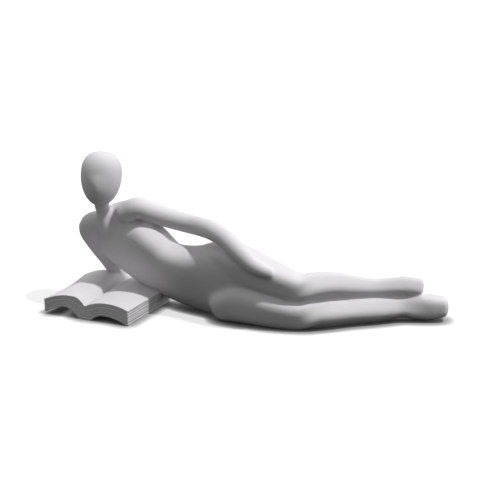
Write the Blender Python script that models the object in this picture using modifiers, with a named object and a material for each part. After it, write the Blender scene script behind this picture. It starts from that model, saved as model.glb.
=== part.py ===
"""Reclining figure that reads an open book, cast in one piece.

Metres, +Z up. The figure lies along X on its right side and faces -Y, head at -X and feet at +X. It leans on
its right forearm behind the book, and its chest bears on the rear of the book's right-hand page. The limbs
are lofts through named stations. They are melted into one skin, joined to the book and cut flat below.
"""
import math

import bmesh
import bpy
import numpy as np
from mathutils import Matrix, Vector

MM = 0.001

# Size of the figure. The stations below are written in units, 300 of them to this length.
FIGURE_LENGTH = 300 * MM
STATION_LENGTH = 300.0
UNIT = FIGURE_LENGTH / STATION_LENGTH

# The open book, sizes of its own
PAGE_LENGTH = 66 * MM          # along the spine
LEFT_WIDTH = 35.6 * MM         # spine to left fore-edge
RIGHT_WIDTH = 37.3 * MM        # spine to right fore-edge
VALLEY_HEIGHT = 11.0 * MM      # top of the fold between the pages
LEFT_HUMP = 17.9 * MM          # highest line of the left page, and where it is
LEFT_HUMP_AT = 13.4 * MM
LEFT_EDGE_TOP = 12.0 * MM
LEFT_EDGE_BOTTOM = 1.9 * MM    # the left half stands a little clear of the ground
RIGHT_HUMP = 15.8 * MM
RIGHT_HUMP_AT = 20.0 * MM
RIGHT_EDGE_TOP = 12.2 * MM
LEFT_ARCH = 8.0 * MM           # hollow under each half: height and place of its crown
LEFT_ARCH_AT = 17.5 * MM
RIGHT_ARCH = 5.0 * MM
RIGHT_ARCH_AT = 19.0 * MM
SPINE_FOOT = 5.6 * MM          # solid width under the fold, each side
EDGE_FOOT = 1.6 * MM           # solid width under each fore-edge
FORE_EDGE_FLARE = 5.2 * MM     # how far the right fore-edge runs out towards its back corner
BACK_CORNER_DROP = 4.5 * MM    # how much shorter the right half is at its back corner
LEFT_EDGE_HOLLOW = 3.0 * MM    # how far the left fore-edge is drawn in at its middle
FLARE_POWER = 1.3              # how late along the page the flare sets in
LEFT_FOLD_SLOPE = 1.7          # slopes of the left page where it leaves the fold and reaches its edge
LEFT_EDGE_SLOPE = -0.45
RIGHT_FOLD_SLOPE = 0.55
RIGHT_EDGE_SLOPE = -0.42
ARCH_EDGE_SLOPE = -0.55        # slopes of the hollow where it leaves the edge and reaches the spine
ARCH_SPINE_SLOPE = 1.3
EDGE_SLANT = 0.5 * MM          # how far the foot of a fore-edge stands in from its top
BOOK_YAW = math.radians(-23.0)
# The back end of the fold, where it meets the forearm, in figure units
FOLD_BACK = (-100.6, 78.9)

# Fineness of the skin
VOXEL = 1.25 * MM
SKIN_TRIANGLES = 7800
EVEN_REACH = 2.2 * MM          # how far the evening of the skin works
FILLET_REACH = 4.8 * MM        # how far the filling of the hollows works
SPAN_STEPS = 5
RING_SIDES = 32
CAP_RINGS = 5
CURVE_STEPS = 7                # points on each curve of the book's outline
BOOK_STEPS = 8                 # lengths that the book is extruded in
PULL = 0.5                     # share of the way that a hollow is filled in one round
SLACK = 0.02                   # and that the rest of the skin moves

# Stations: x, y, z of the section's centre, then its half-height and its half-depth, in figure units.
# The torso and the legs have a sixth number, the degrees that the section's front is rolled downwards.
TORSO = [
    (6, 15, 28.6, 22, 12, 6),
    (-9, 24, 28.4, 28.6, 15.5, 12),
    (-27, 33, 27.4, 29.4, 16.4, 17),
    (-41, 39, 27.4, 27.2, 15.8, 22),
    (-55.5, 44, 29.4, 25.6, 15.0, 27),
    (-67.5, 49, 33.2, 25.4, 14.6, 30),
    (-77.4, 53, 38.6, 27.4, 14.8, 32),
    (-87.3, 57, 45.2, 27.4, 14.8, 30),
    (-96.5, 60, 51.6, 25.0, 13.8, 23),
    (-103.5, 61.5, 59.2, 21.0, 11.4, 14),
    (-108.5, 62, 65.6, 13.8, 8.8, 10),
]
SLOPE_POWER = 2.5
TORSO_POWER = 2.7              # squareness of the torso's sections, 2 for an ellipse
CHEST_FRONT = (-0.39, -0.92, 0.0)
NECK = [
    (-107.5, 57.5, 60, 9.6, 8.6),
    (-112.0, 57.5, 68.5, 6.6, 6.2),
    (-114.2, 57.5, 76.5, 5.3, 5.3),
    (-114.8, 56.5, 85, 6.6, 6.4),
]
# The flat slope between the neck and the raised shoulder
SHOULDER_SLOPE = [
    (-111.0, 62.0, 71.6, 4.8, 4.6, 30),
    (-105.5, 61.5, 73.0, 5.2, 7.6, 30),
    (-99.0, 58.5, 74.8, 5.6, 9.0, 30),
    (-93, 53, 76.6, 6.0, 8.0, 30),
]
# The back's edge from the armpit down to the waist
BACK_EDGE = [
    (-90, 58, 62.0, 8.0, 6),
    (-76, 54, 60.4, 7.5, 6),
    (-70, 52, 56.8, 7.2, 6),
    (-64, 50, 51.0, 7.0, 6),
    (-57, 46.5, 45.5, 6.5, 6),
    (-48, 42, 41.0, 6.0, 6),
]
LEFT_ARM = [
    (-96.0, 50, 75.4, 8.6, 8.6),
    (-86.5, 47.5, 80.4, 8.5, 8.6),
    (-74.6, 48.5, 76.4, 8.2, 8.2),
    (-61.7, 48.5, 72.1, 7.8, 7.6),
    (-47.0, 44.5, 68.9, 7.4, 7.3),
    (-36.0, 35, 68.9, 7.4, 7.2),
    (-27.5, 22.5, 69.6, 7.4, 7.2),
    (-18.0, 13.5, 66.1, 7.2, 6.8),
    (-7.0, 3.8, 57.9, 6.7, 6.2),
    (1.2, -1.8, 51.4, 5.9, 5.4),
    (8.0, -4.6, 48.1, 5.2, 4.8),
    (12.6, -6.0, 46.5, 4.6, 4.3),
]
RIGHT_ARM = [
    (-115, 64, 64.4, 9.8, 9.2),
    (-124.2, 68, 59.0, 10.2, 10.0),
    (-119.4, 73, 44.5, 8.8, 8.6),
    (-113.0, 80, 30.0, 7.3, 7.3),
    (-108.0, 87, 17.5, 6.5, 6.5),
    (-101.5, 91.5, 7.0, 6.8, 6.8),
    (-88, 88, 5.6, 6.2, 6.4),
    (-72, 81, 5.0, 5.6, 6.0),
    (-60, 76, 4.6, 5.0, 6.0),
    (-52, 72.5, 4.4, 4.4, 5.4),
]
LEFT_LEG = [
    (-29, 31, 43.0, 14.0, 11, 10),
    (-17, 24, 45.4, 15.2, 13.4, 14),
    (-4, 15.5, 43.8, 14.4, 13.4, 16),
    (15, 7, 38.6, 11.8, 12.0, 16),
    (28, 3, 34.4, 10.5, 10.9, 12),
    (34.5, 2.8, 31.9, 10.3, 10.6, 4),
    (40, 3.6, 30.9, 10.2, 10.4, -22),
    (46, 5.6, 31.1, 10.2, 10.2, -36),
    (56, 9, 31.0, 9.8, 9.8, -40),
    (66, 12, 30.1, 9.2, 9.2, -40),
    (79, 15.5, 27.8, 7.9, 7.9, -38),
    (94.5, 18.5, 26.0, 6.6, 6.6, -36),
    (106, 20, 26.2, 6.6, 6.6, -34),
    (117.5, 21, 26.6, 7.1, 6.8, -32),
    (129.0, 21.5, 25.2, 6.9, 6.4, -30),
]
RIGHT_LEG = [
    (-18, 21, 12.6, 12.4, 13.4, 2),
    (-9, 16.8, 15.4, 14.6, 14.2, 4),
    (-1, 13.2, 15.3, 14.5, 13.6, 8),
    (7.5, 9.6, 14.4, 13.7, 12.9, 12),
    (17, 6.0, 13.2, 12.8, 12.3, 14),
    (30, 3, 11.6, 11.6, 11.6, 14),
    (39, 1.8, 11.0, 11.1, 11.2, 8),
    (43.5, 2, 10.9, 10.8, 10.8, -20),
    (49, 3.2, 10.7, 10.5, 10.6, -38),
    (58, 5, 10.5, 10.3, 10.3, -42),
    (75.5, 10, 10.0, 9.5, 9.4, -42),
    (95, 14, 9.6, 8.9, 8.7, -40),
    (106.5, 17, 9.6, 8.4, 8.4, -36),
    (116, 19, 10.2, 8.1, 7.9, -28),
    (126, 19, 10.4, 9.3, 8.3, -15),
    (138, 18, 10.6, 9.3, 8.5, 0),
    (147.5, 17.5, 11.0, 7.8, 7.6, 0),
]
LEG_POWER = 3.0
BLUNT = 0.55                   # cap length of the feet as a share of their end radius

# The head: an egg, wider above, with a keel down the front of the lower half that points to the book
HEAD_CENTRE = (-114.0, 56.0, 105.1)
HEAD_WIDE = 15.8
HEAD_DEEP = 16.6
HEAD_ABOVE = 17.7
HEAD_BELOW = 24.6
CROWN_POWER = 2.4
HEAD_TURN = math.radians(-8.0)
HEAD_LIFT = math.radians(-12.0)
HEAD_LEAN = math.radians(4.0)
KEEL_RISE = 1.7
KEEL_WIDTH = 11.0
KEEL_POWER = 1.3
HEAD_SEGMENTS = 40
HEAD_RINGS = 28
AXIS_REACH = 1e-6              # nearer to the head's axis than this counts as on it

GROUND_BLOCK = 0.6             # side of the block that cuts the underside flat
GROUND_DEPTH = 0.05
COLOUR = (0.78, 0.77, 0.76, 1.0)
ROUGHNESS = 0.6


def clear_scene():
    for thing in list(bpy.data.objects):
        bpy.data.objects.remove(thing, do_unlink=True)


def collection(name):
    made = bpy.data.collections.new(name)
    bpy.context.scene.collection.children.link(made)
    return made


def spline(rows, steps):
    """Rows of numbers joined by a smooth curve through each row, with `steps` rows for each span."""
    rows = np.array(rows, float)
    padded = np.vstack([2 * rows[0] - rows[1], rows, 2 * rows[-1] - rows[-2]])
    curve = []
    for span in range(len(rows) - 1):
        before, start, end, after = padded[span:span + 4]
        for step in range(steps):
            t = step / steps
            curve.append(0.5 * (2 * start + (end - before) * t
                                + (2 * before - 5 * start + 4 * end - after) * t ** 2
                                + (3 * start - before - 3 * end + after) * t ** 3))
    curve.append(rows[-1])
    return np.array(curve)


def fuller(share, power):
    """A sine or cosine, raised so that the curve it draws is a superellipse of that power."""
    return math.copysign(abs(share) ** (2 / power), share)


def limb(bm, stations, front=(0.0, -1.0, 0.0), power=2.0, start_cap=1.0, end_cap=1.0):
    """A closed loft of elliptical sections along the stations, with rounded ends."""
    rows = spline(stations, SPAN_STEPS)
    rows[:, :5] *= UNIT
    along = np.gradient(rows[:, :3], axis=0)
    along /= np.linalg.norm(along, axis=1)[:, None]

    def ring(row, direction, shift, scale):
        roll = math.radians(row[5]) if len(row) > 5 else 0.0
        aim = math.cos(roll) * np.array(front) - math.sin(roll) * np.array((0, 0, 1))
        facing = aim - np.dot(aim, direction) * direction
        facing /= np.linalg.norm(facing)
        across = np.cross(direction, facing)
        centre = row[:3] + direction * shift
        made = []
        for side in range(RING_SIDES):
            angle = 2 * math.pi * side / RING_SIDES
            high = scale * row[3] * fuller(math.cos(angle), power)
            deep = scale * row[4] * fuller(math.sin(angle), power)
            made.append(bm.verts.new(centre + high * across + deep * facing))
        return made

    def cap_length(row, share):
        return share * min(row[3], row[4])

    rings = []
    for step in range(CAP_RINGS - 1, 0, -1):
        angle = 0.5 * math.pi * step / CAP_RINGS
        shift = -cap_length(rows[0], start_cap) * math.sin(angle)
        rings.append(ring(rows[0], along[0], shift, math.cos(angle)))
    rings += [ring(row, direction, 0.0, 1.0) for row, direction in zip(rows, along)]
    for step in range(1, CAP_RINGS):
        angle = 0.5 * math.pi * step / CAP_RINGS
        shift = cap_length(rows[-1], end_cap) * math.sin(angle)
        rings.append(ring(rows[-1], along[-1], shift, math.cos(angle)))

    for lower, upper in zip(rings, rings[1:]):
        for side in range(RING_SIDES):
            after = (side + 1) % RING_SIDES
            bm.faces.new((lower[side], lower[after], upper[after], upper[side]))
    poles = [rows[0, :3] - along[0] * cap_length(rows[0], start_cap),
             rows[-1, :3] + along[-1] * cap_length(rows[-1], end_cap)]
    for pole, loop in zip(poles, (rings[0], rings[-1])):
        tip = bm.verts.new(pole)
        for side in range(RING_SIDES):
            bm.faces.new((loop[side], loop[(side + 1) % RING_SIDES], tip))


def head(bm):
    """An egg from a sphere: full above, long below, with a soft keel down the lower front."""
    egg = bmesh.ops.create_uvsphere(bm, u_segments=HEAD_SEGMENTS, v_segments=HEAD_RINGS, radius=1.0)["verts"]
    turn = (Matrix.Rotation(HEAD_LEAN, 4, "Y") @ Matrix.Rotation(HEAD_LIFT, 4, "X")
            @ Matrix.Rotation(HEAD_TURN, 4, "Z"))
    for vert in egg:
        x, y, z = vert.co
        if z > 0:
            around = math.hypot(x, y)
            widen = (1 - z ** CROWN_POWER) ** (1 / CROWN_POWER) / around if around > AXIS_REACH else 1.0
            x, y, z = x * widen, y * widen, z * HEAD_ABOVE
        else:
            z *= HEAD_BELOW
        x *= HEAD_WIDE
        y *= HEAD_DEEP
        if y < 0 and z < 0:
            low = math.sin(math.pi * min(1.0, -z / HEAD_BELOW))
            y -= KEEL_RISE * low * max(0.0, 1 - abs(x) / KEEL_WIDTH) ** KEEL_POWER
        vert.co = (Vector(HEAD_CENTRE) + turn @ Vector((x, y, z))) * UNIT


def baked(thing, name):
    """The mesh of an object with its modifiers applied, after which the object is removed."""
    bpy.context.view_layer.update()
    graph = bpy.context.evaluated_depsgraph_get()
    mesh = bpy.data.meshes.new_from_object(thing.evaluated_get(graph))
    mesh.name = name
    bpy.data.objects.remove(thing, do_unlink=True)
    return mesh


def soften(mesh, even_reach, fillet_reach):
    """Even out the whole skin, then fill only its hollows, which turns creases into fillets."""
    even_rounds = round((even_reach / VOXEL) ** 2)
    fillet_rounds = round((fillet_reach / VOXEL) ** 2)
    count = len(mesh.vertices)
    points = np.empty(count * 3)
    mesh.vertices.foreach_get("co", points)
    points = points.reshape(-1, 3)
    edges = np.empty(len(mesh.edges) * 2, dtype=int)
    mesh.edges.foreach_get("vertices", edges)
    ends = edges.reshape(-1, 2)
    here = np.concatenate([ends[:, 0], ends[:, 1]])
    there = np.concatenate([ends[:, 1], ends[:, 0]])
    degree = np.bincount(here, minlength=count)[:, None]
    corners = np.array([tuple(face.vertices) for face in mesh.polygons])

    def pull():
        sums = np.stack([np.bincount(here, points[there, axis], count) for axis in range(3)], 1)
        return sums / degree - points

    def normals():
        diagonal = points[corners[:, 2]] - points[corners[:, 0]]
        other = points[corners[:, 3]] - points[corners[:, 1]]
        face = np.cross(diagonal, other)
        total = sum(np.stack([np.bincount(corners[:, corner], face[:, axis], count) for axis in range(3)], 1)
                    for corner in range(4))
        return total / np.maximum(np.linalg.norm(total, axis=1), 1e-12)[:, None]

    for _ in range(even_rounds):
        points = points + PULL * pull()
    for _ in range(fillet_rounds):
        step = pull()
        hollow = np.einsum("ij,ij->i", step, normals()) > 0
        points = points + np.where(hollow, PULL, SLACK)[:, None] * step
    mesh.vertices.foreach_set("co", points.ravel())
    mesh.update()


def figure(home):
    """Head, neck, torso and limbs melted into one skin."""
    bm = bmesh.new()
    limb(bm, TORSO, front=CHEST_FRONT, power=TORSO_POWER)
    limb(bm, NECK)
    limb(bm, SHOULDER_SLOPE, power=SLOPE_POWER)
    limb(bm, BACK_EDGE)
    limb(bm, LEFT_ARM)
    limb(bm, RIGHT_ARM)
    limb(bm, LEFT_LEG, power=LEG_POWER, end_cap=BLUNT)
    limb(bm, RIGHT_LEG, power=LEG_POWER, end_cap=BLUNT)
    head(bm)
    bmesh.ops.recalc_face_normals(bm, faces=bm.faces)
    mesh = bpy.data.meshes.new("limbs")
    bm.to_mesh(mesh)
    bm.free()
    limbs = bpy.data.objects.new("limbs", mesh)
    home.objects.link(limbs)
    skin = limbs.modifiers.new("Skin", "REMESH")
    skin.mode = "VOXEL"
    skin.voxel_size = VOXEL
    melted = baked(limbs, "skin")
    soften(melted, EVEN_REACH, FILLET_REACH)
    body = bpy.data.objects.new("skin", melted)
    home.objects.link(body)
    fewer = body.modifiers.new("Fewer faces", "DECIMATE")
    fewer.ratio = SKIN_TRIANGLES / (2 * len(melted.polygons))
    reduced = baked(body, "figure")
    done = bpy.data.objects.new("figure", reduced)
    home.objects.link(done)
    return done


def rise(start, end, start_slope, end_slope, steps):
    """Points of a smooth curve between two (across, up) points with given slopes, without the last."""
    (x0, z0), (x1, z1) = start, end
    wide = x1 - x0
    points = []
    for step in range(steps):
        t = step / steps
        z = ((2 * t ** 3 - 3 * t ** 2 + 1) * z0 + (3 * t ** 2 - 2 * t ** 3) * z1
             + wide * (start_slope * (t ** 3 - 2 * t ** 2 + t) + end_slope * (t ** 3 - t ** 2)))
        points.append((x0 + wide * t, z))
    return points


def half_outline(width, hump, hump_at, edge_top, edge_bottom, arch, arch_at, fold_slope, edge_slope):
    """Outline of one half of the book from the fold over the page, down the fore-edge and back under."""
    top = rise((0, VALLEY_HEIGHT), (hump_at, hump), fold_slope, 0, CURVE_STEPS)
    top += rise((hump_at, hump), (width, edge_top), 0, edge_slope, CURVE_STEPS)
    edge = [(width, edge_top), (width - EDGE_SLANT, edge_bottom)]
    under = rise((width - EDGE_FOOT, edge_bottom), (arch_at, arch), ARCH_EDGE_SLOPE, 0, CURVE_STEPS)
    under += rise((arch_at, arch), (SPINE_FOOT, 0), 0, ARCH_SPINE_SLOPE, CURVE_STEPS)
    return top + edge + under + [(SPINE_FOOT, 0)]


def halves():
    """Outlines of the right and the left half, each written outwards from the fold."""
    right = half_outline(RIGHT_WIDTH, RIGHT_HUMP, RIGHT_HUMP_AT, RIGHT_EDGE_TOP, 0.0,
                         RIGHT_ARCH, RIGHT_ARCH_AT, RIGHT_FOLD_SLOPE, RIGHT_EDGE_SLOPE)
    left = half_outline(LEFT_WIDTH, LEFT_HUMP, LEFT_HUMP_AT, LEFT_EDGE_TOP, LEFT_EDGE_BOTTOM,
                        LEFT_ARCH, LEFT_ARCH_AT, LEFT_FOLD_SLOPE, LEFT_EDGE_SLOPE)
    return right, left


def splayed(across, along):
    """Where a point of a straight book lies once its edges are flared, shortened and drawn in."""
    back = max(0.0, along / PAGE_LENGTH)
    rightward = max(0.0, across / RIGHT_WIDTH)
    leftward = max(0.0, -across / LEFT_WIDTH)
    flare = FORE_EDGE_FLARE * back ** FLARE_POWER * rightward ** 2
    hollow = LEFT_EDGE_HOLLOW * math.sin(math.pi * back) * leftward ** 2
    return across + flare + hollow, along - BACK_CORNER_DROP * back * rightward ** 2


def book_place():
    """Turns the book and sets the back end of its fold against the forearm."""
    back_end = Vector((FOLD_BACK[0] * UNIT, FOLD_BACK[1] * UNIT, 0))
    turned = Matrix.Translation(back_end) @ Matrix.Rotation(BOOK_YAW, 4, "Z")
    return turned @ Matrix.Translation((0, -PAGE_LENGTH, 0))


def book(home):
    """The open book: two arched page blocks, hollow below, drawn as one outline and extruded."""
    right, left = halves()
    outline = right + [(-across, up) for across, up in reversed(left[1:])]
    bm = bmesh.new()
    front = bm.faces.new([bm.verts.new((across, 0, up)) for across, up in outline])
    faces = [front]
    for _ in range(BOOK_STEPS):
        made = bmesh.ops.extrude_face_region(bm, geom=faces)["geom"]
        moved = [item for item in made if isinstance(item, bmesh.types.BMVert)]
        bmesh.ops.translate(bm, vec=(0, PAGE_LENGTH / BOOK_STEPS, 0), verts=moved)
        bmesh.ops.delete(bm, geom=[face for face in faces if face is not front], context="FACES_ONLY")
        faces = [item for item in made if isinstance(item, bmesh.types.BMFace)]
    for vert in bm.verts:
        vert.co.x, vert.co.y = splayed(vert.co.x, vert.co.y)
    bmesh.ops.recalc_face_normals(bm, faces=bm.faces)
    bm.transform(book_place())
    mesh = bpy.data.meshes.new("book")
    bm.to_mesh(mesh)
    bm.free()
    made = bpy.data.objects.new("book", mesh)
    home.objects.link(made)
    return made


def ground_block(home):
    bm = bmesh.new()
    bmesh.ops.create_cube(bm, size=1.0)
    shape = Matrix.Diagonal((GROUND_BLOCK, GROUND_BLOCK, GROUND_DEPTH, 1))
    bm.transform(Matrix.Translation((0, 0, -GROUND_DEPTH / 2)) @ shape)
    mesh = bpy.data.meshes.new("ground_block")
    bm.to_mesh(mesh)
    bm.free()
    block = bpy.data.objects.new("ground_block", mesh)
    home.objects.link(block)
    return block


def combine(thing, tool, operation):
    step = thing.modifiers.new(operation.title(), "BOOLEAN")
    step.operation = operation
    step.solver = "EXACT"
    step.object = tool


def resin():
    """Matt off-white cast resin."""
    made = bpy.data.materials.new("cast_resin")
    made.use_nodes = True
    shader = made.node_tree.nodes["Principled BSDF"]
    shader.inputs["Base Color"].default_value = COLOUR
    shader.inputs["Roughness"].default_value = ROUGHNESS
    shader.inputs["Metallic"].default_value = 0.0
    return made


def build():
    clear_scene()
    parts = collection("reading_figure_statue")
    tools = collection("cutters")
    body = figure(tools)
    pages = book(tools)
    floor = ground_block(tools)
    combine(body, pages, "UNION")
    combine(body, floor, "DIFFERENCE")
    mesh = baked(body, "reading_figure")
    for tool in (pages, floor):
        tool.hide_render = True
        tool.display_type = "WIRE"
    corners = np.array([tuple(vert.co) for vert in mesh.vertices])
    middle = (corners.min(0) + corners.max(0)) / 2
    mesh.transform(Matrix.Translation((-middle[0], -middle[1], 0)))
    mesh.materials.clear()
    mesh.materials.append(resin())
    mesh.shade_smooth()
    statue = bpy.data.objects.new("reading_figure", mesh)
    parts.objects.link(statue)
    print("centre", middle, "size", corners.max(0) - corners.min(0), "faces", len(mesh.polygons))


build()
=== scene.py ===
"""Looks of the reading figure statue: fine skin, paged book, cast resin, studio light and camera."""
import math

import bmesh
import bpy
import numpy as np
from mathutils import Matrix, Vector


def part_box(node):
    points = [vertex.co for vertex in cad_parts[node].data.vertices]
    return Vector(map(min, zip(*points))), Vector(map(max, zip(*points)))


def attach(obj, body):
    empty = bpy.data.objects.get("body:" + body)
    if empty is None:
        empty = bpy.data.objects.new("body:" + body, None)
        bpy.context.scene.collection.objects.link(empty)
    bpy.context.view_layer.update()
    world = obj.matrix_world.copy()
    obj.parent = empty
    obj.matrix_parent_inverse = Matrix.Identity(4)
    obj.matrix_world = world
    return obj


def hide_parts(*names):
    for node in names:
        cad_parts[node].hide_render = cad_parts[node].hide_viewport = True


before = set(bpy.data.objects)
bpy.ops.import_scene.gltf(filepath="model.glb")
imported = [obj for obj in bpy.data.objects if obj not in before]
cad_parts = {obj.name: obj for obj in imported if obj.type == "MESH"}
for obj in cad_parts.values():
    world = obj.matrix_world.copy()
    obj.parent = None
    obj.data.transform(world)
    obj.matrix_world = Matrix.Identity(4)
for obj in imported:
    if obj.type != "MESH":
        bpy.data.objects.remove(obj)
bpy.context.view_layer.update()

MM = 0.001

# Size of the figure. The stations below are written in units, 300 of them to this length.
FIGURE_LENGTH = 300 * MM
STATION_LENGTH = 300.0
UNIT = FIGURE_LENGTH / STATION_LENGTH

# The open book, sizes of its own
PAGE_LENGTH = 66 * MM          # along the spine
LEFT_WIDTH = 35.6 * MM         # spine to left fore-edge
RIGHT_WIDTH = 37.3 * MM        # spine to right fore-edge
VALLEY_HEIGHT = 11.0 * MM      # top of the fold between the pages
LEFT_HUMP = 17.9 * MM          # highest line of the left page, and where it is
LEFT_HUMP_AT = 13.4 * MM
LEFT_EDGE_TOP = 12.0 * MM
LEFT_EDGE_BOTTOM = 1.9 * MM    # the left half stands a little clear of the ground
RIGHT_HUMP = 15.8 * MM
RIGHT_HUMP_AT = 20.0 * MM
RIGHT_EDGE_TOP = 12.2 * MM
LEFT_ARCH = 8.0 * MM           # hollow under each half: height and place of its crown
LEFT_ARCH_AT = 17.5 * MM
RIGHT_ARCH = 5.0 * MM
RIGHT_ARCH_AT = 19.0 * MM
SPINE_FOOT = 5.6 * MM          # solid width under the fold, each side
EDGE_FOOT = 1.6 * MM           # solid width under each fore-edge
FORE_EDGE_FLARE = 5.2 * MM     # how far the right fore-edge runs out towards its back corner
BACK_CORNER_DROP = 4.5 * MM    # how much shorter the right half is at its back corner
LEFT_EDGE_HOLLOW = 3.0 * MM    # how far the left fore-edge is drawn in at its middle
FLARE_POWER = 1.3              # how late along the page the flare sets in
LEFT_FOLD_SLOPE = 1.7          # slopes of the left page where it leaves the fold and reaches its edge
LEFT_EDGE_SLOPE = -0.45
RIGHT_FOLD_SLOPE = 0.55
RIGHT_EDGE_SLOPE = -0.42
ARCH_EDGE_SLOPE = -0.55        # slopes of the hollow where it leaves the edge and reaches the spine
ARCH_SPINE_SLOPE = 1.3
EDGE_SLANT = 0.5 * MM          # how far the foot of a fore-edge stands in from its top
BOOK_YAW = math.radians(-23.0)
# The back end of the fold, where it meets the forearm, in figure units
FOLD_BACK = (-100.6, 78.9)

# Fineness of the skin
VOXEL = 0.95 * MM
EVEN_REACH = 2.2 * MM          # how far the evening of the skin works
FILLET_REACH = 4.8 * MM        # how far the filling of the hollows works
SPAN_STEPS = 5
RING_SIDES = 32
CAP_RINGS = 5
CURVE_STEPS = 7                # points on each curve of the book's outline
PULL = 0.5                     # share of the way that a hollow is filled in one round
SLACK = 0.02                   # and that the rest of the skin moves

# Stations: x, y, z of the section's centre, then its half-height and its half-depth, in figure units.
# The torso and the legs have a sixth number, the degrees that the section's front is rolled downwards.
TORSO = [
    (6, 15, 28.6, 22, 12, 6),
    (-9, 24, 28.4, 28.6, 15.5, 12),
    (-27, 33, 27.4, 29.4, 16.4, 17),
    (-41, 39, 27.4, 27.2, 15.8, 22),
    (-55.5, 44, 29.4, 25.6, 15.0, 27),
    (-67.5, 49, 33.2, 25.4, 14.6, 30),
    (-77.4, 53, 38.6, 27.4, 14.8, 32),
    (-87.3, 57, 45.2, 27.4, 14.8, 30),
    (-96.5, 60, 51.6, 25.0, 13.8, 23),
    (-103.5, 61.5, 59.2, 21.0, 11.4, 14),
    (-108.5, 62, 65.6, 13.8, 8.8, 10),
]
SLOPE_POWER = 2.5
TORSO_POWER = 2.7              # squareness of the torso's sections, 2 for an ellipse
CHEST_FRONT = (-0.39, -0.92, 0.0)
NECK = [
    (-107.5, 57.5, 60, 9.6, 8.6),
    (-112.0, 57.5, 68.5, 6.6, 6.2),
    (-114.2, 57.5, 76.5, 5.3, 5.3),
    (-114.8, 56.5, 85, 6.6, 6.4),
]
# The flat slope between the neck and the raised shoulder
SHOULDER_SLOPE = [
    (-111.0, 62.0, 71.6, 4.8, 4.6, 30),
    (-105.5, 61.5, 73.0, 5.2, 7.6, 30),
    (-99.0, 58.5, 74.8, 5.6, 9.0, 30),
    (-93, 53, 76.6, 6.0, 8.0, 30),
]
# The back's edge from the armpit down to the waist
BACK_EDGE = [
    (-90, 58, 62.0, 8.0, 6),
    (-76, 54, 60.4, 7.5, 6),
    (-70, 52, 56.8, 7.2, 6),
    (-64, 50, 51.0, 7.0, 6),
    (-57, 46.5, 45.5, 6.5, 6),
    (-48, 42, 41.0, 6.0, 6),
]
LEFT_ARM = [
    (-96.0, 50, 75.4, 8.6, 8.6),
    (-86.5, 47.5, 80.4, 8.5, 8.6),
    (-74.6, 48.5, 76.4, 8.2, 8.2),
    (-61.7, 48.5, 72.1, 7.8, 7.6),
    (-47.0, 44.5, 68.9, 7.4, 7.3),
    (-36.0, 35, 68.9, 7.4, 7.2),
    (-27.5, 22.5, 69.6, 7.4, 7.2),
    (-18.0, 13.5, 66.1, 7.2, 6.8),
    (-7.0, 3.8, 57.9, 6.7, 6.2),
    (1.2, -1.8, 51.4, 5.9, 5.4),
    (8.0, -4.6, 48.1, 5.2, 4.8),
    (12.6, -6.0, 46.5, 4.6, 4.3),
]
RIGHT_ARM = [
    (-115, 64, 64.4, 9.8, 9.2),
    (-124.2, 68, 59.0, 10.2, 10.0),
    (-119.4, 73, 44.5, 8.8, 8.6),
    (-113.0, 80, 30.0, 7.3, 7.3),
    (-108.0, 87, 17.5, 6.5, 6.5),
    (-101.5, 91.5, 7.0, 6.8, 6.8),
    (-88, 88, 5.6, 6.2, 6.4),
    (-72, 81, 5.0, 5.6, 6.0),
    (-60, 76, 4.6, 5.0, 6.0),
    (-52, 72.5, 4.4, 4.4, 5.4),
]
LEFT_LEG = [
    (-29, 31, 43.0, 14.0, 11, 10),
    (-17, 24, 45.4, 15.2, 13.4, 14),
    (-4, 15.5, 43.8, 14.4, 13.4, 16),
    (15, 7, 38.6, 11.8, 12.0, 16),
    (28, 3, 34.4, 10.5, 10.9, 12),
    (34.5, 2.8, 31.9, 10.3, 10.6, 4),
    (40, 3.6, 30.9, 10.2, 10.4, -22),
    (46, 5.6, 31.1, 10.2, 10.2, -36),
    (56, 9, 31.0, 9.8, 9.8, -40),
    (66, 12, 30.1, 9.2, 9.2, -40),
    (79, 15.5, 27.8, 7.9, 7.9, -38),
    (94.5, 18.5, 26.0, 6.6, 6.6, -36),
    (106, 20, 26.2, 6.6, 6.6, -34),
    (117.5, 21, 26.6, 7.1, 6.8, -32),
    (129.0, 21.5, 25.2, 6.9, 6.4, -30),
]
RIGHT_LEG = [
    (-18, 21, 12.6, 12.4, 13.4, 2),
    (-9, 16.8, 15.4, 14.6, 14.2, 4),
    (-1, 13.2, 15.3, 14.5, 13.6, 8),
    (7.5, 9.6, 14.4, 13.7, 12.9, 12),
    (17, 6.0, 13.2, 12.8, 12.3, 14),
    (30, 3, 11.6, 11.6, 11.6, 14),
    (39, 1.8, 11.0, 11.1, 11.2, 8),
    (43.5, 2, 10.9, 10.8, 10.8, -20),
    (49, 3.2, 10.7, 10.5, 10.6, -38),
    (58, 5, 10.5, 10.3, 10.3, -42),
    (75.5, 10, 10.0, 9.5, 9.4, -42),
    (95, 14, 9.6, 8.9, 8.7, -40),
    (106.5, 17, 9.6, 8.4, 8.4, -36),
    (116, 19, 10.2, 8.1, 7.9, -28),
    (126, 19, 10.4, 9.3, 8.3, -15),
    (138, 18, 10.6, 9.3, 8.5, 0),
    (147.5, 17.5, 11.0, 7.8, 7.6, 0),
]
LEG_POWER = 3.0
BLUNT = 0.55                   # cap length of the feet as a share of their end radius

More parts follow.
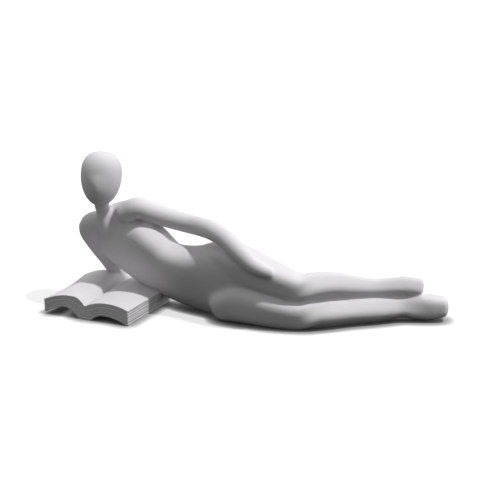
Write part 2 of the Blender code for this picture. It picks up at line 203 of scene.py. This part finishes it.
# The head: an egg, wider above, with a keel down the front of the lower half that points to the book
HEAD_CENTRE = (-114.0, 56.0, 105.1)
HEAD_WIDE = 15.8
HEAD_DEEP = 16.6
HEAD_ABOVE = 17.7
HEAD_BELOW = 24.6
CROWN_POWER = 2.4
HEAD_TURN = math.radians(-8.0)
HEAD_LIFT = math.radians(-12.0)
HEAD_LEAN = math.radians(4.0)
KEEL_RISE = 1.7
KEEL_WIDTH = 11.0
KEEL_POWER = 1.3
HEAD_SEGMENTS = 40
HEAD_RINGS = 28
AXIS_REACH = 1e-6              # nearer to the head's axis than this counts as on it


def spline(rows, steps):
    """Rows of numbers joined by a smooth curve through each row, with `steps` rows for each span."""
    rows = np.array(rows, float)
    padded = np.vstack([2 * rows[0] - rows[1], rows, 2 * rows[-1] - rows[-2]])
    curve = []
    for span in range(len(rows) - 1):
        before, start, end, after = padded[span:span + 4]
        for step in range(steps):
            t = step / steps
            curve.append(0.5 * (2 * start + (end - before) * t
                                + (2 * before - 5 * start + 4 * end - after) * t ** 2
                                + (3 * start - before - 3 * end + after) * t ** 3))
    curve.append(rows[-1])
    return np.array(curve)


def fuller(share, power):
    """A sine or cosine, raised so that the curve it draws is a superellipse of that power."""
    return math.copysign(abs(share) ** (2 / power), share)


def limb(bm, stations, front=(0.0, -1.0, 0.0), power=2.0, start_cap=1.0, end_cap=1.0):
    """A closed loft of elliptical sections along the stations, with rounded ends."""
    rows = spline(stations, SPAN_STEPS)
    rows[:, :5] *= UNIT
    along = np.gradient(rows[:, :3], axis=0)
    along /= np.linalg.norm(along, axis=1)[:, None]

    def ring(row, direction, shift, scale):
        roll = math.radians(row[5]) if len(row) > 5 else 0.0
        aim = math.cos(roll) * np.array(front) - math.sin(roll) * np.array((0, 0, 1))
        facing = aim - np.dot(aim, direction) * direction
        facing /= np.linalg.norm(facing)
        across = np.cross(direction, facing)
        centre = row[:3] + direction * shift
        made = []
        for side in range(RING_SIDES):
            angle = 2 * math.pi * side / RING_SIDES
            high = scale * row[3] * fuller(math.cos(angle), power)
            deep = scale * row[4] * fuller(math.sin(angle), power)
            made.append(bm.verts.new(centre + high * across + deep * facing))
        return made

    def cap_length(row, share):
        return share * min(row[3], row[4])

    rings = []
    for step in range(CAP_RINGS - 1, 0, -1):
        angle = 0.5 * math.pi * step / CAP_RINGS
        shift = -cap_length(rows[0], start_cap) * math.sin(angle)
        rings.append(ring(rows[0], along[0], shift, math.cos(angle)))
    rings += [ring(row, direction, 0.0, 1.0) for row, direction in zip(rows, along)]
    for step in range(1, CAP_RINGS):
        angle = 0.5 * math.pi * step / CAP_RINGS
        shift = cap_length(rows[-1], end_cap) * math.sin(angle)
        rings.append(ring(rows[-1], along[-1], shift, math.cos(angle)))

    for lower, upper in zip(rings, rings[1:]):
        for side in range(RING_SIDES):
            after = (side + 1) % RING_SIDES
            bm.faces.new((lower[side], lower[after], upper[after], upper[side]))
    poles = [rows[0, :3] - along[0] * cap_length(rows[0], start_cap),
             rows[-1, :3] + along[-1] * cap_length(rows[-1], end_cap)]
    for pole, loop in zip(poles, (rings[0], rings[-1])):
        tip = bm.verts.new(pole)
        for side in range(RING_SIDES):
            bm.faces.new((loop[side], loop[(side + 1) % RING_SIDES], tip))


def head(bm):
    """An egg from a sphere: full above, long below, with a soft keel down the lower front."""
    egg = bmesh.ops.create_uvsphere(bm, u_segments=HEAD_SEGMENTS, v_segments=HEAD_RINGS, radius=1.0)["verts"]
    turn = (Matrix.Rotation(HEAD_LEAN, 4, "Y") @ Matrix.Rotation(HEAD_LIFT, 4, "X")
            @ Matrix.Rotation(HEAD_TURN, 4, "Z"))
    for vert in egg:
        x, y, z = vert.co
        if z > 0:
            around = math.hypot(x, y)
            widen = (1 - z ** CROWN_POWER) ** (1 / CROWN_POWER) / around if around > AXIS_REACH else 1.0
            x, y, z = x * widen, y * widen, z * HEAD_ABOVE
        else:
            z *= HEAD_BELOW
        x *= HEAD_WIDE
        y *= HEAD_DEEP
        if y < 0 and z < 0:
            low = math.sin(math.pi * min(1.0, -z / HEAD_BELOW))
            y -= KEEL_RISE * low * max(0.0, 1 - abs(x) / KEEL_WIDTH) ** KEEL_POWER
        vert.co = (Vector(HEAD_CENTRE) + turn @ Vector((x, y, z))) * UNIT


def baked(thing, name):
    """The mesh of an object with its modifiers applied, after which the object is removed."""
    bpy.context.view_layer.update()
    graph = bpy.context.evaluated_depsgraph_get()
    mesh = bpy.data.meshes.new_from_object(thing.evaluated_get(graph))
    mesh.name = name
    bpy.data.objects.remove(thing, do_unlink=True)
    return mesh


def soften(mesh, even_reach, fillet_reach):
    """Even out the whole skin, then fill only its hollows, which turns creases into fillets."""
    even_rounds = round((even_reach / VOXEL) ** 2)
    fillet_rounds = round((fillet_reach / VOXEL) ** 2)
    count = len(mesh.vertices)
    points = np.empty(count * 3)
    mesh.vertices.foreach_get("co", points)
    points = points.reshape(-1, 3)
    edges = np.empty(len(mesh.edges) * 2, dtype=int)
    mesh.edges.foreach_get("vertices", edges)
    ends = edges.reshape(-1, 2)
    here = np.concatenate([ends[:, 0], ends[:, 1]])
    there = np.concatenate([ends[:, 1], ends[:, 0]])
    degree = np.bincount(here, minlength=count)[:, None]
    corners = np.array([tuple(face.vertices) for face in mesh.polygons])

    def pull():
        sums = np.stack([np.bincount(here, points[there, axis], count) for axis in range(3)], 1)
        return sums / degree - points

    def normals():
        diagonal = points[corners[:, 2]] - points[corners[:, 0]]
        other = points[corners[:, 3]] - points[corners[:, 1]]
        face = np.cross(diagonal, other)
        total = sum(np.stack([np.bincount(corners[:, corner], face[:, axis], count) for axis in range(3)], 1)
                    for corner in range(4))
        return total / np.maximum(np.linalg.norm(total, axis=1), 1e-12)[:, None]

    for _ in range(even_rounds):
        points = points + PULL * pull()
    for _ in range(fillet_rounds):
        step = pull()
        hollow = np.einsum("ij,ij->i", step, normals()) > 0
        points = points + np.where(hollow, PULL, SLACK)[:, None] * step
    mesh.vertices.foreach_set("co", points.ravel())
    mesh.update()


def rise(start, end, start_slope, end_slope, steps):
    """Points of a smooth curve between two (across, up) points with given slopes, without the last."""
    (x0, z0), (x1, z1) = start, end
    wide = x1 - x0
    points = []
    for step in range(steps):
        t = step / steps
        z = ((2 * t ** 3 - 3 * t ** 2 + 1) * z0 + (3 * t ** 2 - 2 * t ** 3) * z1
             + wide * (start_slope * (t ** 3 - 2 * t ** 2 + t) + end_slope * (t ** 3 - t ** 2)))
        points.append((x0 + wide * t, z))
    return points


def half_outline(width, hump, hump_at, edge_top, edge_bottom, arch, arch_at, fold_slope, edge_slope):
    """Outline of one half of the book from the fold over the page, down the fore-edge and back under."""
    top = rise((0, VALLEY_HEIGHT), (hump_at, hump), fold_slope, 0, CURVE_STEPS)
    top += rise((hump_at, hump), (width, edge_top), 0, edge_slope, CURVE_STEPS)
    edge = [(width, edge_top), (width - EDGE_SLANT, edge_bottom)]
    under = rise((width - EDGE_FOOT, edge_bottom), (arch_at, arch), ARCH_EDGE_SLOPE, 0, CURVE_STEPS)
    under += rise((arch_at, arch), (SPINE_FOOT, 0), 0, ARCH_SPINE_SLOPE, CURVE_STEPS)
    return top + edge + under + [(SPINE_FOOT, 0)]


def halves():
    """Outlines of the right and the left half, each written outwards from the fold."""
    right = half_outline(RIGHT_WIDTH, RIGHT_HUMP, RIGHT_HUMP_AT, RIGHT_EDGE_TOP, 0.0,
                         RIGHT_ARCH, RIGHT_ARCH_AT, RIGHT_FOLD_SLOPE, RIGHT_EDGE_SLOPE)
    left = half_outline(LEFT_WIDTH, LEFT_HUMP, LEFT_HUMP_AT, LEFT_EDGE_TOP, LEFT_EDGE_BOTTOM,
                        LEFT_ARCH, LEFT_ARCH_AT, LEFT_FOLD_SLOPE, LEFT_EDGE_SLOPE)
    return right, left


def splayed(across, along):
    """Where a point of a straight book lies once its edges are flared, shortened and drawn in."""
    back = max(0.0, along / PAGE_LENGTH)
    rightward = max(0.0, across / RIGHT_WIDTH)
    leftward = max(0.0, -across / LEFT_WIDTH)
    flare = FORE_EDGE_FLARE * back ** FLARE_POWER * rightward ** 2
    hollow = LEFT_EDGE_HOLLOW * math.sin(math.pi * back) * leftward ** 2
    return across + flare + hollow, along - BACK_CORNER_DROP * back * rightward ** 2


def book_place():
    """Turns the book and sets the back end of its fold against the forearm."""
    back_end = Vector((FOLD_BACK[0] * UNIT, FOLD_BACK[1] * UNIT, 0))
    turned = Matrix.Translation(back_end) @ Matrix.Rotation(BOOK_YAW, 4, "Z")
    return turned @ Matrix.Translation((0, -PAGE_LENGTH, 0))


# Page layers that show on the cut faces of the book
SHEETS = 8                     # grooves between the cover and the top page
GROOVE = 0.65 * MM             # depth of a groove
STEPS_PER_SHEET = 6
RHYTHM_DRIFT = 0.22            # how far the layers stray from even steps, in sheets
RHYTHM_RATE = 1.7
RHYTHM_START = 0.6
DEPTH_DRIFT = 0.35             # share of a groove's depth that changes from layer to layer
DEPTH_RATE = 2.3
DEPTH_START = 1.0
WANDER = 0.10                  # how far a groove wanders up and down, in sheets
WANDER_ACROSS = 5 * MM         # length of that wandering on the front and back faces
WANDER_ALONG = 7 * MM          # and on the fore-edges
ACROSS_STEPS = 44              # mesh steps over one half of the book
ALONG_STEPS = 90
EDGE_SPACING = 0.3             # how tightly the mesh steps gather at the book's edges
EDGE_ROUNDS = 3                # rounds of smoothing along the book's edges, and how far each one goes
EDGE_SHARE = 0.5
SHARP = math.radians(55)       # an edge of the book that bends more than this is drawn crisp
NODE = "reading_figure"
BODY = "root"

# The photograph's view: a camera that looks along +Y, slightly down
CAMERA_AIM = Vector((0.0038, -0.0452, 0.0624))
CAMERA_DISTANCE = 1.1
CAMERA_DOWN = math.radians(18.0)
CAMERA_LENS = 107.0
CAMERA_SENSOR = 36.0

# Light: one key, and fills by the side that they come from, each a direction and a brightness
KEY_ROUND = math.radians(-18.0)    # from +X towards +Y
KEY_HIGH = math.radians(64.0)
KEY_FROM = Vector((math.cos(KEY_ROUND) * math.cos(KEY_HIGH), math.sin(KEY_ROUND) * math.cos(KEY_HIGH),
                   math.sin(KEY_HIGH)))
KEY_STRENGTH = 2.25
KEY_SIZE = math.radians(3.0)
SKY_FOOT = -0.25               # height of the direction where the fills begin, and where they are full
SKY_FULL = 0.10
FILLS = [((0, 0, 1), 0.24), ((1, 0, 0), 0.90), ((0, 1, 0), 0.74), ((-1, 0, 0), 0.50)]
# The paper floor: its own colour, the light of the white sweep behind it, and the reach and power of a
# painted contact shade that dims that glow near the statue
FLOOR_REACH = 15.0
PAPER = 0.30
PAPER_ROUGHNESS = 0.9
SWEEP = 0.70
PAINTED_SHADE_REACH = 9 * MM
PAINTED_SHADE_POWER = 4.0

# The resin. Each noise: scale, detail and roughness.
CLOUDS = (28.0, 3.0, 0.5)
CLOUD_TINTS = [(0.3, (0.660, 0.648, 0.660, 1)), (0.7, (0.710, 0.699, 0.710, 1))]
SHEEN = (60.0, 2.0, 0.5)
SHEEN_RANGE = (0.56, 0.70)
SPECULAR = 0.35
# Relief of the surface: noise, strength and height
GRAIN = ((1800.0, 2.0, 0.6), 0.12, 0.2 * MM)
WAVES = ((90.0, 2.0, 0.5), 0.10, 0.6 * MM)


def new_mesh(bm, name):
    mesh = bpy.data.meshes.new(name)
    bm.to_mesh(mesh)
    bm.free()
    return mesh


def link(name, data):
    made = bpy.data.objects.new(name, data)
    bpy.context.scene.collection.objects.link(made)
    return made


def figure():
    """Head, neck, torso and limbs melted into one fine skin, in figure coordinates."""
    bm = bmesh.new()
    limb(bm, TORSO, front=CHEST_FRONT, power=TORSO_POWER)
    limb(bm, NECK)
    limb(bm, SHOULDER_SLOPE, power=SLOPE_POWER)
    limb(bm, BACK_EDGE)
    limb(bm, LEFT_ARM)
    limb(bm, RIGHT_ARM)
    limb(bm, LEFT_LEG, power=LEG_POWER, end_cap=BLUNT)
    limb(bm, RIGHT_LEG, power=LEG_POWER, end_cap=BLUNT)
    head(bm)
    bmesh.ops.recalc_face_normals(bm, faces=bm.faces)
    limbs = link("limbs", new_mesh(bm, "limbs"))
    skin = limbs.modifiers.new("Skin", "REMESH")
    skin.mode = "VOXEL"
    skin.voxel_size = VOXEL
    melted = baked(limbs, "skin")
    soften(melted, EVEN_REACH, FILLET_REACH)
    bm = bmesh.new()
    bm.from_mesh(melted)
    bpy.data.meshes.remove(melted)
    cut = bmesh.ops.bisect_plane(bm, geom=bm.verts[:] + bm.edges[:] + bm.faces[:], plane_co=(0, 0, 0),
                                 plane_no=(0, 0, -1), clear_outer=True)["geom_cut"]
    rim = [item for item in cut if isinstance(item, bmesh.types.BMEdge)]
    bmesh.ops.holes_fill(bm, edges=rim, sides=0)
    bmesh.ops.triangulate(bm, faces=[face for face in bm.faces if len(face.verts) > 4])
    return new_mesh(bm, "figure")


def gathered(steps):
    """Shares from 0 to 1 whose steps are finer towards both ends."""
    even = np.linspace(0, 1, steps + 1)
    eased = 0.5 - 0.5 * np.cos(math.pi * even)
    return EDGE_SPACING * eased + (1 - EDGE_SPACING) * even


def page_section():
    """Where the top page and the underside run across the book: rows of across, top and under."""
    right, left = halves()
    rows = []
    for outline, width, sign in ((left, LEFT_WIDTH, -1), (right, RIGHT_WIDTH, 1)):
        turn = max(range(len(outline)), key=lambda i: outline[i][0])
        top = np.array(outline[:turn + 1])
        under = np.array(outline[turn + 1:] + [(0, 0)])[::-1]
        half = width * gathered(ACROSS_STEPS)
        half_rows = np.stack([sign * half, np.interp(half, top[:, 0], top[:, 1]),
                              np.interp(half, under[:, 0], under[:, 1])], 1)
        rows.append(half_rows[::sign])
    return np.vstack([rows[0], rows[1][1:]])


def groove(layer, wander):
    """Depth of the page grooves at a height given in sheets, with an uneven rhythm."""
    place = layer + RHYTHM_DRIFT * np.sin(RHYTHM_RATE * layer + RHYTHM_START) + wander
    uneven = 1 - DEPTH_DRIFT + DEPTH_DRIFT * np.sin(DEPTH_RATE * np.floor(place) + DEPTH_START)
    return GROOVE * uneven * (0.5 - 0.5 * np.cos(2 * math.pi * place))


def book():
    """The open book as the skin of a block of mesh steps, with page grooves on its four cut sides."""
    section = page_section()
    layers = SHEETS * STEPS_PER_SHEET
    along = gathered(ALONG_STEPS)
    bm = bmesh.new()
    made = {}

    def vertex(s, t, k):
        if (s, t, k) not in made:
            x, top, under = section[s]
            share = k / layers
            y = PAGE_LENGTH * along[t]
            z = under + (top - under) * share
            layer = SHEETS * share
            edge = (s == 0) + (s == len(section) - 1)
            inside = 0 < k < layers
            if inside and t in (0, ALONG_STEPS):
                depth = groove(layer, WANDER * math.sin(x / WANDER_ACROSS))
                y += depth if t == 0 else -depth
            if inside and edge:
                depth = groove(layer, WANDER * math.sin(y / WANDER_ALONG))
                x -= math.copysign(depth, x)
            x, y = splayed(x, y)
            made[s, t, k] = bm.verts.new((x, y, z))
        return made[s, t, k]

    last = len(section) - 1
    for s in range(last):
        for t in range(ALONG_STEPS):
            for k, order in ((0, 1), (layers, -1)):
                ring = [vertex(s, t, k), vertex(s, t + 1, k), vertex(s + 1, t + 1, k), vertex(s + 1, t, k)]
                bm.faces.new(ring[::order])
        for k in range(layers):
            for t, order in ((0, 1), (ALONG_STEPS, -1)):
                ring = [vertex(s, t, k), vertex(s + 1, t, k), vertex(s + 1, t, k + 1), vertex(s, t, k + 1)]
                bm.faces.new(ring[::order])
    for t in range(ALONG_STEPS):
        for k in range(layers):
            for s, order in ((0, -1), (last, 1)):
                ring = [vertex(s, t, k), vertex(s, t + 1, k), vertex(s, t + 1, k + 1), vertex(s, t, k + 1)]
                bm.faces.new(ring[::order])
    edges = [vert for (s, t, k), vert in made.items()
             if (s in (0, last)) + (t in (0, ALONG_STEPS)) + (k in (0, layers)) >= 2]
    for _ in range(EDGE_ROUNDS):
        bmesh.ops.smooth_vert(bm, verts=edges, factor=EDGE_SHARE,
                              use_axis_x=True, use_axis_y=True, use_axis_z=True)
    bm.transform(book_place())
    bmesh.ops.recalc_face_normals(bm, faces=bm.faces)
    return new_mesh(bm, "book")


def put_on_frame(meshes):
    """Shift the meshes together so that their common box is centred on the CAD node's."""
    corners = np.array([tuple(vert.co) for mesh in meshes for vert in mesh.vertices])
    middle = (corners.min(0) + corners.max(0)) / 2
    low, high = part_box(NODE)
    target = (low + high) / 2
    for mesh in meshes:
        mesh.transform(Matrix.Translation((target.x - middle[0], target.y - middle[1], 0)))


def worked_out(tree, operation, *terms):
    """The output of a math node whose terms are numbers or other outputs."""
    made = tree.nodes.new("ShaderNodeMath")
    made.operation = operation
    for socket, term in zip(made.inputs, terms):
        if isinstance(term, bpy.types.NodeSocket):
            tree.links.new(term, socket)
        else:
            socket.default_value = term
    return made.outputs[0]


def noise(tree, place, scale, detail, roughness):
    """The strength of a noise that is fixed to the object."""
    texture = tree.nodes.new("ShaderNodeTexNoise")
    texture.inputs["Scale"].default_value = scale
    texture.inputs["Detail"].default_value = detail
    texture.inputs["Roughness"].default_value = roughness
    tree.links.new(place, texture.inputs["Vector"])
    return texture.outputs["Fac"]


def relief(tree, place, pattern, strength, height):
    """A bump node that raises the surface by a noise."""
    bump = tree.nodes.new("ShaderNodeBump")
    bump.inputs["Strength"].default_value = strength
    bump.inputs["Distance"].default_value = height
    tree.links.new(noise(tree, place, *pattern), bump.inputs["Height"])
    return bump


def resin():
    """Matt off-white cast resin: faint cloudiness, a sanded grain and small soft waves."""
    made = bpy.data.materials.new("cast_resin_finish")
    made.use_nodes = True
    tree = made.node_tree
    shader = tree.nodes["Principled BSDF"]
    place = tree.nodes.new("ShaderNodeTexCoord").outputs["Object"]

    tint = tree.nodes.new("ShaderNodeValToRGB")
    for element, (position, color) in zip(tint.color_ramp.elements, CLOUD_TINTS):
        element.position = position
        element.color = color
    tree.links.new(noise(tree, place, *CLOUDS), tint.inputs["Fac"])
    tree.links.new(tint.outputs["Color"], shader.inputs["Base Color"])

    sheen = tree.nodes.new("ShaderNodeMapRange")
    sheen.inputs["To Min"].default_value, sheen.inputs["To Max"].default_value = SHEEN_RANGE
    tree.links.new(noise(tree, place, *SHEEN), sheen.inputs["Value"])
    tree.links.new(sheen.outputs["Result"], shader.inputs["Roughness"])

    grain = relief(tree, place, *GRAIN)
    waves = relief(tree, place, *WAVES)
    tree.links.new(grain.outputs["Normal"], waves.inputs["Normal"])
    tree.links.new(waves.outputs["Normal"], shader.inputs["Normal"])
    shader.inputs["Specular IOR Level"].default_value = SPECULAR
    return made


def dress():
    """Makes the figure and the book in fine meshes, in place of the CAD node."""
    skin, pages = figure(), book()
    put_on_frame((skin, pages))
    finish = resin()
    for name, mesh in (("figure", skin), ("open_book", pages)):
        mesh.materials.clear()
        mesh.materials.append(finish)
        mesh.shade_smooth()
        piece = link(name, mesh)
        if name == "open_book":
            mesh.set_sharp_from_angle(angle=SHARP)
        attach(piece, BODY)
        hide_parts(NODE)


def floor():
    """White paper that glows like a lit sweep, with painted contact shade dimming the glow where the statue
    is near, and lights nothing.
    """
    bm = bmesh.new()
    bmesh.ops.create_grid(bm, x_segments=1, y_segments=1, size=FLOOR_REACH)
    ground = link("floor", new_mesh(bm, "floor"))
    paper = bpy.data.materials.new("white_paper")
    paper.use_nodes = True
    tree = paper.node_tree
    shader = tree.nodes["Principled BSDF"]
    shader.inputs["Base Color"].default_value = (PAPER, PAPER, PAPER, 1)
    shader.inputs["Roughness"].default_value = PAPER_ROUGHNESS
    shader.inputs["Emission Color"].default_value = (1, 1, 1, 1)
    # Painted contact shade: ambient occlusion near the statue, raised to a power, dims the floor's glow
    near = tree.nodes.new("ShaderNodeAmbientOcclusion")
    near.inputs["Distance"].default_value = PAINTED_SHADE_REACH
    painted_shade = worked_out(tree, "POWER", near.outputs["AO"], PAINTED_SHADE_POWER)
    shaded_glow = worked_out(tree, "MULTIPLY", painted_shade, SWEEP)
    tree.links.new(shaded_glow, shader.inputs["Emission Strength"])
    ground.data.materials.append(paper)
    ground.visible_diffuse = False
    ground.visible_glossy = False


def camera():
    """Sets the photograph's view."""
    data = bpy.data.cameras.new("view")
    data.sensor_width = CAMERA_SENSOR
    data.lens = CAMERA_LENS
    eye = CAMERA_AIM + CAMERA_DISTANCE * Vector((0, -math.cos(CAMERA_DOWN), math.sin(CAMERA_DOWN)))
    made = link("view", data)
    made.location = eye
    made.rotation_euler = (CAMERA_AIM - eye).to_track_quat("-Z", "Y").to_euler()
    bpy.context.scene.camera = made


def lights():
    """The key light, and fills that fade out below the horizon."""
    key = bpy.data.lights.new("key", "SUN")
    key.energy = KEY_STRENGTH
    key.angle = KEY_SIZE
    made = link("key", key)
    made.rotation_euler = KEY_FROM.to_track_quat("Z", "Y").to_euler()

    world = bpy.data.worlds.new("studio")
    bpy.context.scene.world = world
    world.use_nodes = True
    tree = world.node_tree
    direction = tree.nodes.new("ShaderNodeTexCoord").outputs["Generated"]
    total = 0.0
    for side, brightness in FILLS:
        share = tree.nodes.new("ShaderNodeVectorMath")
        share.operation = "DOT_PRODUCT"
        share.inputs[1].default_value = [brightness * part for part in side]
        tree.links.new(direction, share.inputs[0])
        lit = worked_out(tree, "MAXIMUM", share.outputs["Value"], 0.0)
        total = worked_out(tree, "ADD", total, lit)
    split = tree.nodes.new("ShaderNodeSeparateXYZ")
    tree.links.new(direction, split.inputs[0])
    above = tree.nodes.new("ShaderNodeMapRange")
    above.inputs["From Min"].default_value = SKY_FOOT
    above.inputs["From Max"].default_value = SKY_FULL
    tree.links.new(split.outputs["Z"], above.inputs["Value"])
    background = tree.nodes["Background"]
    background.inputs["Color"].default_value = (1, 1, 1, 1)
    faded = worked_out(tree, "MULTIPLY", total, above.outputs["Result"])
    tree.links.new(faded, background.inputs["Strength"])


dress()
floor()
camera()
lights()
bpy.context.scene.view_settings.view_transform = "Standard"
